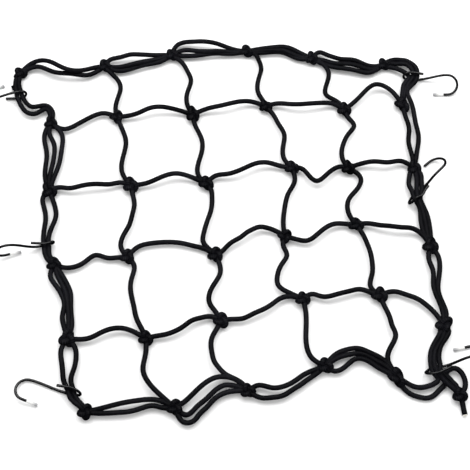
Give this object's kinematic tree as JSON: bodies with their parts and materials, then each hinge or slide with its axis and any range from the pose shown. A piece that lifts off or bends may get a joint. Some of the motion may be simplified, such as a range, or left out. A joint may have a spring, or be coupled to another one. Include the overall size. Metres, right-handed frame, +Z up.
{
  "type": "elastic cargo net",
  "caption": "Black braided elastic cargo net with square cells and wire hooks round its border, lying loosely on a flat surface.",
  "frame": {"origin": "middle of the flat underside of one knot near the net's middle, on the surface that the net lies on", "axes": "+Z up from the surface, +X along the net's length towards the picture's right, +Y away from the picture's viewer"},
  "size_m": [0.5095, 0.4217, 0.0257],
  "materials": {
    "braided_cord": "matte tight braid",
    "coated_wire": "smooth black plastic coat, semi gloss",
    "cap_plastic": "pale translucent plastic"
  },
  "bodies": {
    "root": {"net": "braided_cord", "hook_1": "coated_wire", "hook_2": "coated_wire", "hook_3": "coated_wire", "hook_4": "coated_wire", "hook_5": "coated_wire", "hook_6": "coated_wire", "hook_cap_1": "cap_plastic", "hook_cap_3": "cap_plastic", "hook_cap_4": "cap_plastic", "hook_cap_5": "cap_plastic", "hook_cap_6": "cap_plastic"}
  },
  "joints": []
}
